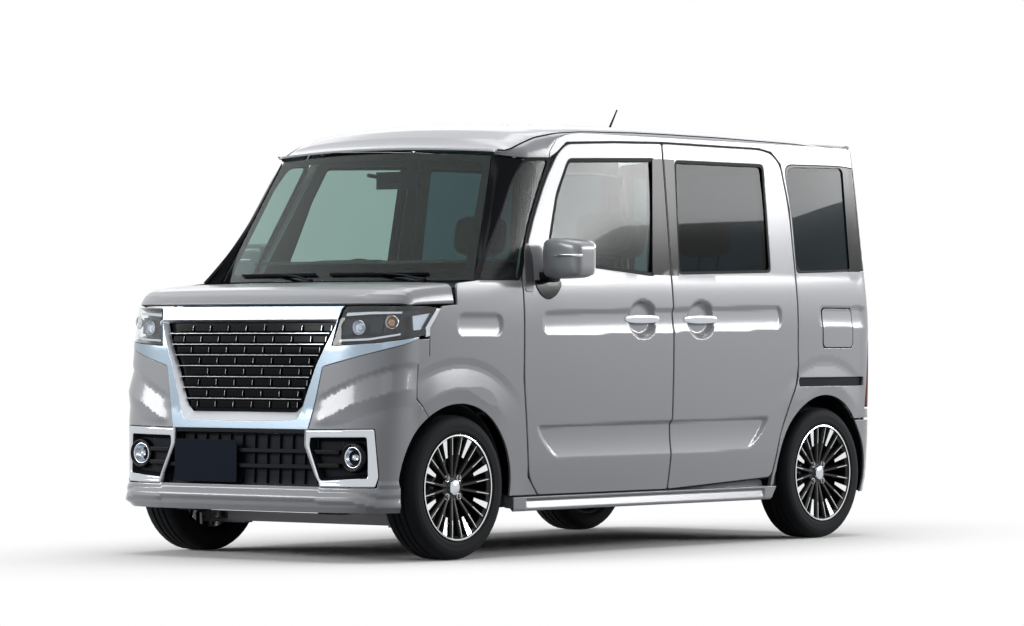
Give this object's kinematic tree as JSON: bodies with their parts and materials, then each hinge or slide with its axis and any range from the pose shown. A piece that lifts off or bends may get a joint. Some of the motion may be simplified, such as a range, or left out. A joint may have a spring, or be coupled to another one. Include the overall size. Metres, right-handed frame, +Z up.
{
  "type": "kei car",
  "caption": "Tall-roofed light wagon with hinged front doors, sliding rear doors, a top-hung tailgate and steered front wheels.",
  "frame": {"origin": "on the floor, midway between the two bumpers and on the middle plane", "axes": "+X to the car's left, +Y to the rear, +Z up; the front faces -Y"},
  "size_m": [1.87, 3.395, 1.8519],
  "materials": {
    "paint": "silver metallic",
    "underbody": "satin",
    "chrome": "satin",
    "black_gloss": "gloss",
    "black_plastic": "matte",
    "lamp_clear": "gloss",
    "lamp_red": "gloss",
    "clear_glass": "gloss",
    "dark_glass": "gloss",
    "seat_fabric": "matte",
    "trim_grey": "matte",
    "cast": "rough",
    "engine_alloy": "cast",
    "steel": "brushed",
    "tyre": "matte",
    "alloy": "machined and painted",
    "plate": "gloss"
  },
  "bodies": {
    "body": {"floor_pan": "underbody", "tie_downs": "underbody", "bulkhead": "underbody", "body_sides": "paint", "roof": "paint", "fenders": "paint", "front_bumper": "paint", "grille_surround": "chrome", "grille": "black_gloss", "lower_grille": "black_gloss", "headlamps": "lamp_clear", "fog_bezels": "chrome", "fog_lamps": "lamp_clear", "rear_bumper": "paint", "side_skirts": "paint", "windscreen": "clear_glass", "front_quarter_glass": "clear_glass", "rear_side_glass": "dark_glass", "cowl": "black_plastic", "wipers": "black_plastic", "antenna": "black_plastic", "front_seats": "seat_fabric", "rear_seat": "seat_fabric", "dashboard": "trim_grey", "steering_column": "trim_grey", "interior_mirror": "trim_grey", "engine": "engine_alloy", "exhaust": "steel", "fuel_tank": "black_plastic", "front_subframe": "cast", "rear_axle": "cast", "sliding_doors": "paint", "tail_lamps": "lamp_red", "front_plate": "plate"},
    "door_left": {"door_left": "paint", "door_glass_left": "clear_glass", "mirror_left": "paint"},
    "door_right": {"door_right": "paint", "door_glass_right": "clear_glass", "mirror_right": "paint"},
    "bonnet": {"bonnet": "paint"},
    "tailgate": {"tailgate": "paint", "tailgate_glass": "dark_glass", "spoiler": "paint", "rear_wiper": "black_plastic", "rear_plate": "plate"},
    "fuel_lid": {"fuel_lid": "paint"},
    "knuckle_left": {"knuckle_left": "cast"},
    "knuckle_right": {"knuckle_right": "cast"},
    "steering_wheel": {"steering_wheel": "trim_grey"},
    "wheel_front_left": {"tyre_front_left": "tyre", "rim_front_left": "alloy"},
    "wheel_front_right": {"tyre_front_right": "tyre", "rim_front_right": "alloy"},
    "wheel_rear_left": {"tyre_rear_left": "tyre", "rim_rear_left": "alloy"},
    "wheel_rear_right": {"tyre_rear_right": "tyre", "rim_rear_right": "alloy"}
  },
  "joints": [
    {"name": "steer_left", "type": "hinge", "parent": "body", "child": "knuckle_left", "pos_m": [0.6, -1.1975, 0.28125], "axis": [0, 0, 1], "range_deg": [-32, 32]},
    {"name": "steer_right", "type": "hinge", "parent": "body", "child": "knuckle_right", "pos_m": [-0.6, -1.1975, 0.28125], "axis": [0, 0, 1], "range_deg": [-32, 32]},
    {"name": "steering_wheel_turn", "type": "hinge", "parent": "body", "child": "steering_wheel", "pos_m": [-0.33, -0.5005, 1.025], "axis": [0, 0.891, 0.454], "range_deg": [-480, 480]},
    {"name": "front_left_roll", "type": "hinge", "parent": "knuckle_left", "child": "wheel_front_left", "pos_m": [0.64, -1.1975, 0.28125], "axis": [1, 0, 0], "continuous": true},
    {"name": "front_right_roll", "type": "hinge", "parent": "knuckle_right", "child": "wheel_front_right", "pos_m": [-0.64, -1.1975, 0.28125], "axis": [1, 0, 0], "continuous": true},
    {"name": "rear_left_roll", "type": "hinge", "parent": "body", "child": "wheel_rear_left", "pos_m": [0.64, 1.2625, 0.28125], "axis": [1, 0, 0], "continuous": true},
    {"name": "rear_right_roll", "type": "hinge", "parent": "body", "child": "wheel_rear_right", "pos_m": [-0.64, 1.2625, 0.28125], "axis": [1, 0, 0], "continuous": true},
    {"name": "door_left_hinge", "type": "hinge", "parent": "body", "child": "door_left", "pos_m": [0.7265, -0.7855, 0.755], "axis": [0, 0, -1], "range_deg": [0, 65]},
    {"name": "door_right_hinge", "type": "hinge", "parent": "body", "child": "door_right", "pos_m": [-0.7265, -0.7855, 0.755], "axis": [0, 0, 1], "range_deg": [0, 65]},
    {"name": "bonnet_hinge", "type": "hinge", "parent": "body", "child": "bonnet", "pos_m": [0, -1.2315, 1.061], "axis": [-1, 0, 0], "range_deg": [0, 50]},
    {"name": "tailgate_hinge", "type": "hinge", "parent": "body", "child": "tailgate", "pos_m": [0, 1.5395, 1.706], "axis": [1, 0, 0], "range_deg": [0, 80]},
    {"name": "fuel_lid_hinge", "type": "hinge", "parent": "body", "child": "fuel_lid", "pos_m": [0.7256, 1.2535, 0.905], "axis": [0, 0, -1], "range_deg": [0, 85]}
  ],
  "couplings": [
    {"joint": "steer_right", "follows": "steer_left", "ratio": 1},
    {"joint": "steering_wheel_turn", "follows": "steer_left", "ratio": 15}
  ]
}
